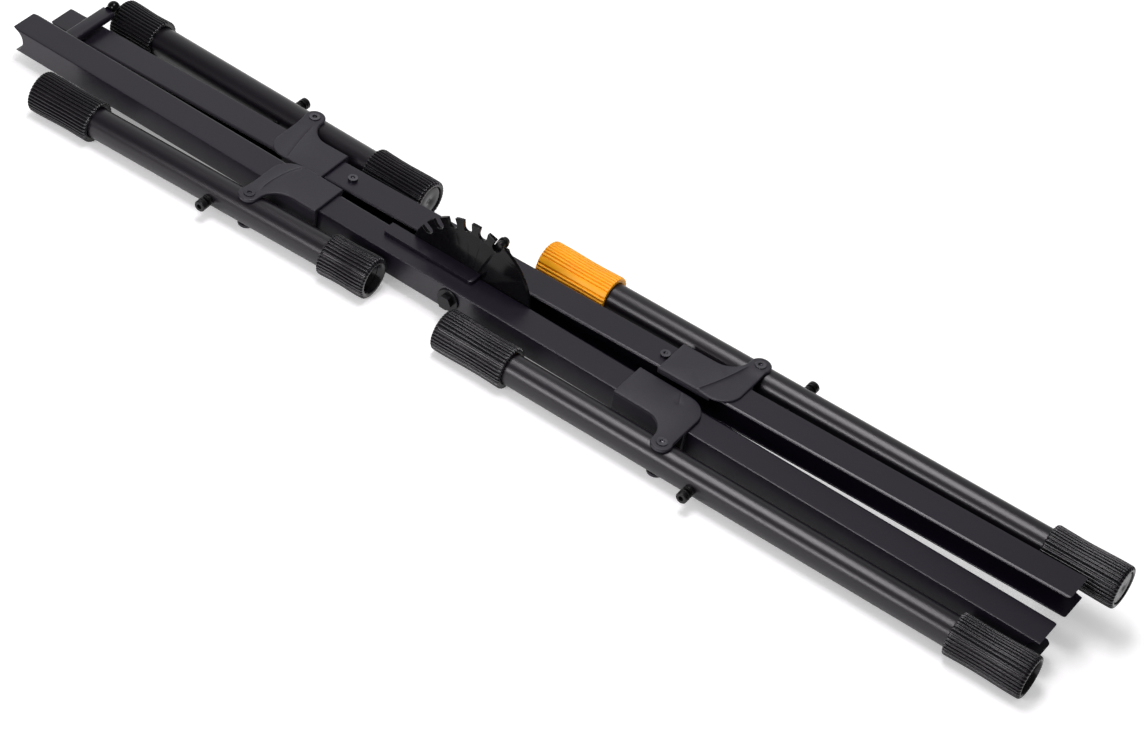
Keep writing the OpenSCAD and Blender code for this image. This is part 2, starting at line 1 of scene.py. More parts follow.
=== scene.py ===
"""Folding X-type keyboard stand, folded flat on a pale studio floor.

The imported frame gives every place: each piece is drawn in millimetres in the frame of the half, carriage
or tube that carries it, with sizes read from the frame's own nodes, and is then placed in metres.
"""
import json
import math

import bmesh
import bpy
import numpy as np
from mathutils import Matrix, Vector, geometry


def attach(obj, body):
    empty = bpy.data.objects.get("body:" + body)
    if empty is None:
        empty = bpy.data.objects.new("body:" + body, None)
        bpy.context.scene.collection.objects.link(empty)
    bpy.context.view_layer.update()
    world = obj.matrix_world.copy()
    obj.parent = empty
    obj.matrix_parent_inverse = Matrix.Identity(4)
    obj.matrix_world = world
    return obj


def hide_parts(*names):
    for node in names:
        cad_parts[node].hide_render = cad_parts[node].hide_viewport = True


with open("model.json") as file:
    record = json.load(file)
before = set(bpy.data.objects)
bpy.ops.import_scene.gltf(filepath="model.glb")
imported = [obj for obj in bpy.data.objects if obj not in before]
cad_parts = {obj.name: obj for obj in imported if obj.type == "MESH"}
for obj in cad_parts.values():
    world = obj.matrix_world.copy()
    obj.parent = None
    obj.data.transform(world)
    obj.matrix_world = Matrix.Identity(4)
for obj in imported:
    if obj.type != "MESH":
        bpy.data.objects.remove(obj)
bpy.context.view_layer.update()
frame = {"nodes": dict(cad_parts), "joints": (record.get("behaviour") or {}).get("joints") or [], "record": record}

MM = 0.001
LIMBS = ["near_arm", "far_arm", "near_leg", "far_leg"]
SIDE_OF = {limb: limb.split("_")[0] for limb in LIMBS}
# Joints by name, and what the record says of each node: its finish and the body it moves with
JOINTS = {joint["name"]: joint for joint in frame["joints"]}
SLOT_OF = {entry["node"]: entry["material_slot"] for entry in frame["record"]["subparts"]}
BODY_OF = {name: body for body, names in frame["record"]["behaviour"]["bodies"].items() for name in names}


# Camera of the photograph: place and turn found from the stand's own corners, screws and tube ends
CAMERA_AT = (0.90579, -1.81262, 1.57936)
CAMERA_TURN = (50.888, -11.447, 34.52)
CAMERA_LENS = 105.5
CAMERA_REACH = 50.0
SENSOR_W = 36.0


def add_camera():
    data = bpy.data.cameras.new("photo_camera")
    data.sensor_fit = "HORIZONTAL"
    data.sensor_width = SENSOR_W
    data.lens = CAMERA_LENS
    data.clip_end = CAMERA_REACH
    camera = bpy.data.objects.new("photo_camera", data)
    camera.location = CAMERA_AT
    camera.rotation_euler = [math.radians(angle) for angle in CAMERA_TURN]
    bpy.context.scene.collection.objects.link(camera)
    bpy.context.scene.camera = camera


add_camera()


# Places: an origin in metres and three directions, with the third one up


def unit(vector):
    """The vector's direction, with length one."""
    vector = np.asarray(vector, float)
    return vector / np.linalg.norm(vector)


class Place:
    """A frame of reference: x, y, z in millimetres along three directions from an origin in metres. z
    always points up, so a frame whose y goes to the other side is mirrored."""

    def __init__(self, origin, along, across):
        self.origin = np.asarray(origin, float)
        self.along = unit(along)
        up = np.cross(self.along, unit(across))
        self.up = unit(up if up[2] > 0 else -up)
        self.mirrored = up[2] < 0
        self.across = np.cross(self.up, self.along) * (-1 if self.mirrored else 1)
        self.axes = np.array([self.along, self.across, self.up])

    def to_world(self, points):
        return self.origin + np.asarray(points, float) @ self.axes * MM

    def to_local(self, points):
        return (np.asarray(points, float) - self.origin) @ self.axes.T / MM

    def extent(self, name):
        """Lowest and highest place of a node's vertices in this frame, in millimetres."""
        data = frame["nodes"][name].data
        co = np.empty(len(data.vertices) * 3)
        data.vertices.foreach_get("co", co)
        local = self.to_local(co.reshape(-1, 3))
        return local.min(0), local.max(0)


PIVOT = np.array(JOINTS["scissor"]["pos_m"])
ACROSS = -unit(JOINTS["scissor"]["axis"])
HALVES = {
    "near": Place(PIVOT, JOINTS["near_leg_slide"]["axis"], ACROSS),
    "far": Place(PIVOT, JOINTS["far_leg_slide"]["axis"], ACROSS),
}
# The halves again, with y from the gap between the beams outwards on both
SIDES = {
    "near": Place(PIVOT, HALVES["near"].along, -HALVES["near"].across),
    "far": HALVES["far"],
}


def tube_place(limb):
    """Frame of a limb's tube: x outwards along it, y away from the beams, origin at the swivel screw."""
    side = unit(JOINTS[limb + "_pull"]["axis"])
    half = HALVES[SIDE_OF[limb]]
    along = np.cross(side, half.up)
    if along @ np.array(JOINTS[limb + "_slide"]["axis"]) < 0:
        along = -along
    return Place(JOINTS[limb + "_swing"]["pos_m"], along, side)


def carriage_place(limb):
    """Frame of a carriage: x outwards along its beam, y away from the gap, origin abeam of the screw."""
    half = HALVES[SIDE_OF[limb]]
    screw = half.to_local(JOINTS[limb + "_swing"]["pos_m"])
    side = -1 if screw[1] < 0 else 1
    origin = half.to_world([screw[0], 0, 0])
    return Place(origin, JOINTS[limb + "_slide"]["axis"], ACROSS * side)


TUBES = {limb: tube_place(limb) for limb in LIMBS}
CARRIAGES = {limb: carriage_place(limb) for limb in LIMBS}


# Mesh building: shells are (points, faces) in millimetres

# Points on the quarter turn of a rounded edge and of a block's corner, and round a recess
EDGE_STEPS = 5
BLOCK_STEPS = 4
WELL_STEPS = 48
# Points nearer than this are one: in the filling of a plan, in millimetres, and in a mesh, in metres
FILL_DISTANCE = 1e-5
WELD_DISTANCE = 2e-6


def grid_faces(rows, columns, close_rows=False, close_columns=False):
    """Quads between the points of a grid that is stored row by row."""
    i = np.arange(rows if close_rows else rows - 1)[:, None]
    j = np.arange(columns if close_columns else columns - 1)[None, :]
    i2, j2 = (i + 1) % rows, (j + 1) % columns
    quads = np.stack([i * columns + j, i * columns + j2, i2 * columns + j2, i2 * columns + j], -1)
    return quads.reshape(-1, 4).tolist()


def turned_over(faces):
    """The same faces, seen from their other side."""
    return [face[::-1] for face in faces]


def joined(*shells):
    """One shell from several that lie apart or touch."""
    points, faces, start = [], [], 0
    for shell_points, shell_faces in shells:
        points.append(np.asarray(shell_points, float))
        faces += [[index + start for index in face] for face in shell_faces]
        start += len(shell_points)
    return np.concatenate(points), faces


def along_y(shell, x, z):
    """A shell drawn round +X, turned so that +X points along y, with its axis at x and z."""
    points, faces = shell
    return points[:, (2, 0, 1)] + [x, 0, z], faces


def lathe(profile, steps, ripple=None, closed=False):
    """Surface of revolution round +X: each profile point (x, r) becomes a ring of `steps` points,
    (x, r cos a, r sin a). ripple adds to the radius of each ring's points. A profile that is not
    closed ends on the axis, where a fan of triangles meets one pole."""
    profile = np.asarray(profile, float)
    angle = np.linspace(0, 2 * np.pi, steps, endpoint=False)
    radius = np.repeat(profile[:, 1:], steps, 1)
    if ripple is not None:
        radius = radius + ripple
    x = np.repeat(profile[:, :1], steps, 1)
    points = np.stack([x, radius * np.cos(angle), radius * np.sin(angle)], -1)
    if closed:
        return points.reshape(-1, 3), grid_faces(len(profile), steps, True, True)
    body = points[1:-1].reshape(-1, 3)
    faces = grid_faces(len(profile) - 2, steps, False, True)
    first, last = len(body), len(body) + 1
    row = np.arange(steps)
    after = (row + 1) % steps
    base = (len(profile) - 3) * steps
    faces += np.stack([np.full(steps, first), after, row], 1).tolist()
    faces += np.stack([np.full(steps, last), base + row, base + after], 1).tolist()
    poles = [[profile[0, 0], 0, 0], [profile[-1, 0], 0, 0]]
    return np.concatenate([body, poles]), faces


def arc(centre, radius, start, end, count):
    """Points of a circular arc, with the angles in degrees."""
    angle = np.radians(np.linspace(start, end, count))
    return np.stack([centre[0] + radius * np.cos(angle), centre[1] + radius * np.sin(angle)], 1)


def resampled(loop, step):
    """Points on a closed outline with straight stretches cut to at most `step`."""
    points = []
    for a, b in zip(loop, np.roll(loop, -1, 0)):
        count = max(1, math.ceil(np.linalg.norm(b - a) / step))
        points.append(a + (b - a) * (np.arange(count) / count)[:, None])
    return np.concatenate(points)


def clipped(outline, level, sign):
    """The part of a plan above (sign 1) or below (sign -1) a line of constant y, closed along it."""
    kept = []
    for a, b in zip(outline, np.roll(outline, -1, 0)):
        if sign * (a[1] - level) >= 0:
            kept.append(a)
        if (a[1] - level) * (b[1] - level) < 0:
            kept.append(a + (b - a) * (level - a[1]) / (b[1] - a[1]))
    return np.array(kept)


def outward(loop):
    """Outward steps of a closed outline that runs anticlockwise: the mean normal of a corner's two sides
    over the cosine of half its turn, so that both sides move out by one, and at most doubled."""
    ahead = np.roll(loop, -1, 0) - loop
    behind = loop - np.roll(loop, 1, 0)
    ahead /= np.linalg.norm(ahead, axis=1)[:, None]
    behind /= np.linalg.norm(behind, axis=1)[:, None]
    normal = np.stack([ahead[:, 1] + behind[:, 1], -ahead[:, 0] - behind[:, 0]], 1)
    length = np.linalg.norm(normal, axis=1)[:, None]
    return normal / length / np.maximum(length / 2, 0.5)


def inside(loop, points):
    """Which points lie in a closed outline: those whose ray along +X crosses it an odd number of times."""
    a, b = loop[None, :, :], np.roll(loop, -1, 0)[None, :, :]
    x, y = points[:, None, 0], points[:, None, 1]
    spans = (a[..., 1] > y) != (b[..., 1] > y)
    with np.errstate(divide="ignore", invalid="ignore"):
        crossing = (b[..., 0] - a[..., 0]) * (y - a[..., 1]) / (b[..., 1] - a[..., 1]) + a[..., 0]
        hits = spans & (x < crossing)
    return hits.sum(1) % 2 == 1


def filled(loops, lines=(), seeds=()):
    """Triangles that fill the first outline outside the others. Lines of points become edges, and seeds
    are single points, so that a surface can bend between them."""
    points, edges = [], []
    for loop in loops:
        start = len(points)
        edges += [(start + i, start + (i + 1) % len(loop)) for i in range(len(loop))]
        points += [Vector(p) for p in loop]
    for line in lines:
        start = len(points)
        edges += [(start + i, start + i + 1) for i in range(len(line) - 1)]
        points += [Vector(p) for p in line]
    points += [Vector(p) for p in seeds]
    made, _, faces, _, _, _ = geometry.delaunay_2d_cdt(points, edges, [], 0, FILL_DISTANCE)
    made = np.array([list(p) for p in made])
    faces = np.array([list(face) for face in faces])
    middles = made[faces].mean(1)
    kept = inside(np.asarray(loops[0]), middles)
    for hole in loops[1:]:
        kept &= ~inside(np.asarray(hole), middles)
    return made, faces[kept].tolist()


def seeds_in(loop, step, margin):
    """A staggered grid of points inside an outline, no nearer to its points than margin."""
    low, high = loop.min(0), loop.max(0)
    x, y = np.meshgrid(np.arange(low[0], high[0], step), np.arange(low[1], high[1], step))
    x = x + (np.arange(x.shape[0])[:, None] % 2) * step / 2
    points = np.column_stack([x.ravel(), y.ravel()])
    points = points[inside(loop, points)]
    near = np.hypot(*(points[:, None, :] - loop[None, :, :]).transpose(2, 0, 1)).min(1)
    return points[near > margin]


def lifted(plan, level):
    """Points of a plan at one level, or each at its own."""
    return np.column_stack([plan, level + np.zeros(len(plan))])


def slab(outline, low, high, top_round, low_round, wells=(), lines=(), seeds=(), relief=None):
    """Flat piece with rounded edges: rings of the outline, inset by r(1 - cos a) and raised by r sin a,
    joined to faces above and below. Wells are round recesses (x, y, radius, depth) in the top, lines and
    seeds give the top more points, and relief(x, y) says how far the top lies below its highest level."""

    def drop(plan):
        return relief(plan[:, 0], plan[:, 1]) if relief is not None else np.zeros(len(plan))

    normal = outward(outline)
    turn = np.linspace(0, np.pi / 2, EDGE_STEPS)
    rings = [(low_round * (1 - np.sin(a)), low + low_round * (1 - np.cos(a)), 0) for a in turn]
    rings += [(top_round * (1 - np.cos(a)), high - top_round + top_round * np.sin(a), 1) for a in turn]
    edge = []
    for inset, level, falls in rings:
        plan = outline - normal * inset
        edge.append(lifted(plan, level - falls * drop(plan)))
    rims = [arc((x, y), r, 0, 360, WELL_STEPS + 1)[:-1] for x, y, r, _ in wells]
    top, top_faces = filled([edge[-1][:, :2]] + rims, lines, seeds)
    bottom, bottom_faces = filled([edge[0][:, :2]])
    shells = [
        (np.concatenate(edge), grid_faces(len(rings), len(outline), False, True)),
        (lifted(top, high - drop(top)), top_faces),
        (lifted(bottom, low), turned_over(bottom_faces)),
    ]
    for (_, _, _, depth), rim in zip(wells, rims):
        wall = np.concatenate([lifted(rim, high - drop(rim)), lifted(rim, high - depth)])
        shells.append((wall, turned_over(grid_faces(2, len(rim), False, True))))
        floor, floor_faces = filled([rim])
        shells.append((lifted(floor, high - depth), floor_faces))
    return joined(*shells)


def box_shell(lows, highs, r):
    """Block between two corners, with all its edges rounded."""
    (x0, y0, z0), (x1, y1, z1) = lows, highs
    corners = [(x1 - r, y0 + r), (x1 - r, y1 - r), (x0 + r, y1 - r), (x0 + r, y0 + r)]
    starts = [-90, 0, 90, 180]
    outline = np.concatenate([
        arc(corner, r, start, start + 90, BLOCK_STEPS) for corner, start in zip(corners, starts)])
    return slab(outline, z0, z1, r, r)


def weld(mesh):
    """Merges doubled points."""
    work = bmesh.new()
    work.from_mesh(mesh)
    bmesh.ops.remove_doubles(work, verts=work.verts, dist=WELD_DISTANCE)
    work.to_mesh(mesh)
    work.free()


def settled(name, mesh, source, slot, smooth):
    """Shades a mesh, smooth where it bends by less than so many degrees, ties it to its node's body and
    gives it a finish."""
    mesh.polygons.foreach_set("use_smooth", [True] * len(mesh.polygons))
    mesh.set_sharp_from_angle(angle=math.radians(smooth))
    mesh.materials.append(FINISHES[slot])
    piece = bpy.data.objects.new(name, mesh)
    bpy.context.scene.collection.objects.link(piece)
    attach(piece, BODY_OF[source])
    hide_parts(source)
    return piece


def finish_piece(name, shell, place, source, smooth):
    """Places a shell and lets it stand for a node, with that node's body and finish."""
    points, faces = shell
    if place.mirrored:
        faces = turned_over(faces)
    mesh = bpy.data.meshes.new(name)
    mesh.from_pydata(place.to_world(points).tolist(), [], faces)
    weld(mesh)
    mesh.validate()
    return settled(name, mesh, source, SLOT_OF[source], smooth)


def eased(piece, width, angle):
    """Rounds a piece's edges that turn by more than an angle, by a width in millimetres."""
    bevel = piece.modifiers.new("eased_edges", "BEVEL")
    bevel.width = width * MM
    bevel.segments = 2
    bevel.limit_method = "ANGLE"
    bevel.angle_limit = math.radians(angle)


# Materials


def linear(hex_colour):
    """sRGB hex to linear RGBA."""
    parts = [int(hex_colour[i:i + 2], 16) / 255 for i in (1, 3, 5)]
    return [c / 12.92 if c <= 0.04045 else ((c + 0.055) / 1.055) ** 2.4 for c in parts] + [1.0]


def grain_scale(width):
    """Scale of a noise or cell pattern whose grains are this many millimetres wide."""
    return 1 / (width * MM)


def node(tree, kind, inputs, **settings):
    """Adds a node, sets its properties, and sets or links its inputs by name or number."""
    made = tree.nodes.new("ShaderNode" + kind)
    for key, value in settings.items():
        setattr(made, key, value)
    for key, value in inputs.items():
        if isinstance(value, bpy.types.NodeSocket):
            tree.links.new(value, made.inputs[key])
        else:
            made.inputs[key].default_value = value
    return made


def new_material(name):
    """An empty material, its tree and the place on the object that its patterns read."""
    material = bpy.data.materials.new(name)
    material.use_nodes = True
    tree = material.node_tree
    tree.nodes.clear()
    return material, tree, node(tree, "TexCoord", {}).outputs["Object"]


def graded(tree, pattern, low, high, start=0.0, end=1.0):
    """Goes from low to high, two numbers or two sRGB hex colours, as a pattern goes from start to end.
    A Mix node has its colours at inputs 6 and 7."""
    share = node(tree, "MapRange", {"Value": pattern, "From Min": start, "From Max": end}).outputs[0]
    if isinstance(low, str):
        colours = {0: share, 6: linear(low), 7: linear(high)}
        return node(tree, "Mix", colours, data_type="RGBA").outputs[2]
    return node(tree, "Mix", {"Factor": share, "A": low, "B": high}).outputs["Result"]


def surfaced(material, tree, inputs):
    """Ends a material with a shader that has these inputs."""
    shader = node(tree, "BsdfPrincipled", inputs)
    node(tree, "OutputMaterial", {"Surface": shader.outputs[0]})
    return material


def powder_coat():
    """Black powder coat baked on steel sheet: a satin grain of half a millimetre, which softens every
    reflection, and a purplish cast that drifts along the beam."""
    material, tree, place = new_material("powder_coat_black")
    grain = node(tree, "TexNoise", {"Vector": place, "Scale": grain_scale(0.53), "Detail": 3.0}).outputs[0]
    cloud = node(tree, "TexNoise", {"Vector": place, "Scale": grain_scale(110.0), "Detail": 3.0}).outputs[0]
    bump = node(tree, "Bump", {"Height": grain, "Strength": 0.10, "Distance": 0.2 * MM})
    return surfaced(material, tree, {
        "Base Color": graded(tree, cloud, "#110c18", "#150f1c", 0.35, 0.65),
        "Roughness": graded(tree, grain, 0.28, 0.38), "Normal": bump.outputs[0], "IOR": 1.5})


def tube_paint():
    """Black satin paint on drawn tube: smoother than the beams, with long soft highlights. Its waves are
    drawn a millimetre wide, since the real film's finer ones wouldn't show."""
    material, tree, place = new_material("satin_paint_black")
    grain = node(tree, "TexNoise", {"Vector": place, "Scale": grain_scale(1.1), "Detail": 2.0}).outputs[0]
    cloud = node(tree, "TexNoise", {"Vector": place, "Scale": grain_scale(45.0), "Detail": 2.0}).outputs[0]
    bump = node(tree, "Bump", {"Height": grain, "Strength": 0.03, "Distance": 0.2 * MM})
    return surfaced(material, tree, {
        "Base Color": graded(tree, cloud, "#0e0b11", "#120e15", 0.35, 0.65),
        "Roughness": graded(tree, grain, 0.28, 0.36), "Normal": bump.outputs[0], "IOR": 1.5})


def moulded_nylon():
    """Glass-filled nylon with a spark-eroded mould grain: matt, faintly blue, with a fine speckle. The
    real grain of a tenth of a millimetre is drawn several times as coarse, so that it shows."""
    material, tree, place = new_material("moulded_nylon_grey")
    grain = node(tree, "TexNoise", {"Vector": place, "Scale": grain_scale(0.67), "Detail": 4.0}).outputs[0]
    speckle = node(tree, "TexVoronoi", {"Vector": place, "Scale": grain_scale(0.77)}).outputs["Distance"]
    bump = node(tree, "Bump", {"Height": grain, "Strength": 0.35, "Distance": 0.3 * MM})
    return surfaced(material, tree, {
        "Base Color": graded(tree, grain, "#1a1820", "#221f28", 0.3, 0.7),
        "Roughness": graded(tree, speckle, 0.40, 0.54), "Normal": bump.outputs[0], "IOR": 1.5})


def moulded_rubber(name, low, high, rough_low, rough_high):
    """Moulded rubber with a fine tooth: handling has polished it in patches of a finger's width."""
    material, tree, place = new_material(name)
    tooth = node(tree, "TexNoise", {"Vector": place, "Scale": grain_scale(0.9), "Detail": 3.0}).outputs[0]
    patch = node(tree, "TexNoise", {"Vector": place, "Scale": grain_scale(17.0), "Detail": 3.0}).outputs[0]
    bump = node(tree, "Bump", {"Height": tooth, "Strength": 0.03, "Distance": 0.2 * MM})
    return surfaced(material, tree, {
        "Base Color": graded(tree, patch, low, high, 0.35, 0.65),
        "Roughness": graded(tree, patch, rough_low, rough_high), "Normal": bump.outputs[0], "IOR": 1.45})


def gloss_enamel():
    """Stove enamel on stamped plate: deep black with clear reflections and faint orange peel."""
    material, tree, place = new_material("gloss_enamel_black")
    peel = node(tree, "TexNoise", {"Vector": place, "Scale": grain_scale(2.9), "Detail": 1.0}).outputs[0]
    bump = node(tree, "Bump", {"Height": peel, "Strength": 0.04, "Distance": 0.2 * MM})
    return surfaced(material, tree, {
        "Base Color": graded(tree, peel, "#060507", "#09080a", 0.3, 0.7),
        "Roughness": 0.2, "Normal": bump.outputs[0], "IOR": 1.3})


def plated_steel(name, low, high, rough_low, rough_high, metallic):
    """Turned and plated steel: lathe marks that spread the glints, drawn wider than the real tenth of a
    millimetre, so that they show."""
    material, tree, place = new_material(name)
    marks = node(tree, "TexNoise", {"Vector": place, "Scale": grain_scale(0.38), "Detail": 2.0}).outputs[0]
    return surfaced(material, tree, {
        "Base Color": graded(tree, marks, low, high, 0.3, 0.7),
        "Roughness": graded(tree, marks, rough_low, rough_high), "Metallic": metallic})


FINISHES = {
    "beam_powder_coat": powder_coat(),
    "tube_paint": tube_paint(),
    "moulded_nylon": moulded_nylon(),
    "black_rubber": moulded_rubber("moulded_rubber_black", "#0e0c10", "#131115", 0.20, 0.30),
    "yellow_rubber": moulded_rubber("moulded_rubber_yellow", "#f5a303", "#fbad08", 0.40, 0.50),
    "gloss_black_steel": gloss_enamel(),
    "zinc_steel": plated_steel("zinc_plated_steel", "#5e5c62", "#706f74", 0.20, 0.30, 1.0),
    "black_oxide_steel": plated_steel("black_oxide_steel", "#141315", "#1b1a1c", 0.26, 0.36, 0.5),
}


# Beams: channels folded from sheet, open to the gap, with a round seat at each end

SHEET = 1.8
BEND_R = 0.8
# Rounded corner at the free end of a flange, as a share of the flange's width
FLANGE_CORNER_SHARE = 1 / 8
# Radius of the seat for the arm's cap, as a share of half the beam's height
ARM_SEAT_SHARE = 1.03
# Points of the section: on a flange's rounded corner, along the flange, round a bend and along the web
CORNER_POINTS, FLANGE_POINTS, BEND_POINTS, WEB_POINTS = 7, 8, 9, 26
# Places along the beam, closer together near its ends, where the seats cut it
STATIONS = np.array([0, 0.02, 0.1, 0.3, 0.5, 0.7, 0.9, 0.98, 1.0])
# Rounding of the cut ends, which turn by more than this many degrees
END_EASE = 0.25
END_EASE_ANGLE = 60
# A flange's free edge: where its slope lies and how widely it spreads, in radians, and how much larger
# its radius is there than elsewhere
EDGE_POINTS = 40
SLOPE_AT = 0.4
SLOPE_SPREAD = 0.11
SLOPE_R = 3.0
SHARP_R = 0.25


def painted_edge():
    """A flange's free edge from its outer face round to its inner one, as reach and depth. Its normal
    turns through half a circle, and the radius it turns on is largest where it still faces mostly
    outwards, since paint and pressing leave a slope there: the curve is the running sum of radius times
    tangent, scaled to the sheet's thickness."""
    turn = np.linspace(0, np.pi, EDGE_POINTS)
    radius = SHARP_R + SLOPE_R * np.exp(-((turn - SLOPE_AT) / SLOPE_SPREAD) ** 2)
    reach, depth = np.cumsum(radius * np.cos(turn)), np.cumsum(radius * np.sin(turn))
    return np.column_stack([reach, depth])[:-1] * SHEET / depth[-1]


def channel_section(gap_y, web_y, z0, z1):
    """The section's outer line runs from the top flange's free edge round two bends to the bottom
    flange's, the inner line lies one sheet inside, and painted edges close it. Points crowd towards the
    flange's free end, where its corner is rounded. Returns the closed line and how many points are outer."""
    corner = (web_y - gap_y) * FLANGE_CORNER_SHARE
    lip = painted_edge()
    edge = lip[:, 0].max()
    crowded = gap_y + edge + (corner - edge) * (1 - np.cos(np.linspace(0, np.pi / 2, CORNER_POINTS)))
    even = np.linspace(gap_y + corner, web_y - BEND_R, FLANGE_POINTS)[1:]
    flange_y = np.concatenate([crowded, even])
    bend = arc((web_y - BEND_R, z1 - BEND_R), BEND_R, 90, 0, BEND_POINTS)[1:]
    upper = np.concatenate([lifted(flange_y, z1), bend])
    lower = (upper * [1, -1] + [0, z1 + z0])[::-1]
    web_z = np.linspace(z1 - BEND_R, z0 + BEND_R, WEB_POINTS)[1:]
    outer = np.concatenate([upper, lifted(web_z, web_y)[:, ::-1], lower[1:]])
    centre = np.clip(outer, [-np.inf, z0 + BEND_R], [web_y - BEND_R, z1 - BEND_R])
    step = outer - centre
    inner = outer - step / np.linalg.norm(step, axis=1)[:, None] * SHEET
    inner = np.clip(inner, [gap_y, z0 + SHEET], [web_y - SHEET, z1 - SHEET])
    top_edge, low_edge = lip * [-1, -1] + [gap_y + edge, z1], lip * [-1, 1] + [gap_y + edge, z0]
    return np.concatenate([outer, low_edge, inner[::-1], top_edge[::-1]]), len(outer)


def channel_beam(lows, highs):
    """The section runs along x and stops where a seat, x = end - sqrt(r^2 - (z - z0)^2), or a flange's
    rounded corner cuts it: the left seat just touches the top, and the right one is centred."""
    x0, gap_y, z0 = lows
    x1, web_y, z1 = highs
    loop, outer_count = channel_section(gap_y, web_y, z0, z1)
    y, z = loop[:, 0], loop[:, 1]
    corner = (web_y - gap_y) * FLANGE_CORNER_SHARE
    into_corner = np.clip(gap_y + corner - y, 0, corner)
    rounding = corner - np.sqrt(np.maximum(corner ** 2 - into_corner ** 2, 0))
    arm_r, leg_r = z1 * ARM_SEAT_SHARE, z1 - SHEET / 2
    arm_seat = np.sqrt(np.maximum(arm_r ** 2 - (z - z1 + arm_r) ** 2, 0))
    leg_seat = np.sqrt(np.maximum(leg_r ** 2 - z ** 2, 0))
    start, end = x0 + np.maximum(arm_seat, rounding), x1 - np.maximum(leg_seat, rounding)
    x = start[:, None] + (end - start)[:, None] * STATIONS
    columns = len(STATIONS)
    points = np.stack([x, np.repeat(y[:, None], columns, 1), np.repeat(z[:, None], columns, 1)], -1)
    faces = grid_faces(len(loop), columns, True, False)
    for column, turn in ((0, 1), (columns - 1, -1)):
        faces += [[index * columns + column for index in face][::turn]
                  for face in sheet_end(outer_count, len(loop))]
    return points.reshape(-1, 3), faces


def sheet_end(outer_count, count):
    """Faces that close one end of a folded sheet: a quad from each stretch of the outer line to the same
    stretch of the inner one, which comes back the other way, and one face for each painted edge."""
    edge_count = count // 2 - outer_count
    i = np.arange(outer_count - 1)
    partner = 2 * outer_count + edge_count - 1 - i
    walls = np.stack([i, i + 1, partner - 1, partner], 1).tolist()
    low_tip = list(range(outer_count - 1, outer_count + edge_count + 1))
    top_tip = list(range(2 * outer_count + edge_count - 1, count)) + [0]
    return walls + [low_tip, top_tip]


def make_beams():
    for side, place in SIDES.items():
        shell = channel_beam(*place.extent(side + "_beam"))
        piece = finish_piece(side + "_channel_beam", shell, place, side + "_beam", smooth=40)
        eased(piece, END_EASE, END_EASE_ANGLE)


make_beams()


# Tubes: drawn cylinders with their wall showing at both ends

TUBE_WALL = 1.5
# Points round a tube and rings along it
TUBE_STEPS = 96
TUBE_RINGS = 24


def drawn_tube(low, high, r):
    """Closed section turned round x: out along the bore's radius, over the rounded rim, back outside."""
    inner = r - TUBE_WALL
    rim = TUBE_WALL / 4
    outside = lifted(np.linspace(low + rim, high - rim, TUBE_RINGS), r)
    profile = np.concatenate([[[low, inner], [low, r - rim]], outside, [[high, r - rim], [high, inner]]])
    return lathe(profile, TUBE_STEPS, closed=True)


def make_tubes():
    for limb, place in TUBES.items():
        lows, highs = place.extent(limb + "_tube")
        shell = drawn_tube(lows[0], highs[0], highs[1])
        finish_piece(limb + "_round_tube", shell, place, limb + "_tube", smooth=30)


make_tubes()


# Ribbed rubber caps: each has its own closed end

# Ribs round a cap, points on each, and the depth of the furrows between them
RIBS = 36
RIB_POINTS = 10
GROOVE = 1.5
# A rib's rounded top takes 1 / 1.25 of the pitch, and the furrow's floor the rest
FURROW_SLOPE = 1.25
# Rings along a cap and over its rounding
CAP_RINGS = 46
ROUNDING_RINGS = 9
# Depth of the waist and of the closed end's rounding, as shares of the radius, and where along the cap
# its waist starts
WAIST = 0.034
WAIST_START = 0.9
ROUNDING_SHARE = 0.13
# How much of their depth the furrows lose over the closed end's rounding, and how late they lose it
RUN_OUT = 0.8
RUN_OUT_POWER = 6
# Rubber between the tube's end and the cap's
CAP_FLOOR = 11.0
# Play of a cap on its tube: the caps are pushed on tightly, and the yellow one turns
TIGHT_FIT = 0.05
TURNING_FIT = 0.3
# The yellow cap's smooth band, as shares of a full turn from the outer side towards the top, its
# shallowest furrow as a share of the deepest, and the change from one to the next, in radians
YELLOW_BAND_SHARE = 0.385
YELLOW_BAND_WIDTH_SHARE = 0.045
YELLOW_SHALLOW = 0.7
YELLOW_CHANGE = 2.4
CAP_ENDS = {
    "near_arm_outer_cap": "plain", "near_arm_inner_cap": "cup", "far_arm_outer_cap": "plain",
    "far_arm_inner_cap": "disc", "near_leg_outer_cap": "ring", "near_leg_inner_cap": "plain",
    "far_leg_outer_cap": "disc", "leveling_cap": "plain",
}
# Closed ends from their rounded edge to the axis, as depth in millimetres and share of the cap's radius:
# a dish, a deep cup, a shallow ring, and a disc set in a narrow groove with a dimple in its middle
END_PROFILES = {
    "plain": [(0, 0.72), (0.4, 0.62), (1.7, 0.58), (2.0, 0.5), (2.0, 0)],
    "cup": [(0, 0.80), (0.5, 0.72), (1.4, 0.70), (2.0, 0.66), (9.0, 0.62), (10.2, 0.55), (10.5, 0.3),
            (10.5, 0)],
    "ring": [(0, 0.84), (0.6, 0.80), (3.2, 0.78), (3.4, 0.70), (3.4, 0)],
    "disc": [(0, 0.80), (0.4, 0.77), (2.4, 0.76), (2.4, 0.70), (1.0, 0.69), (0.8, 0.66), (0.8, 0.16),
             (1.6, 0.1), (1.8, 0)],
}


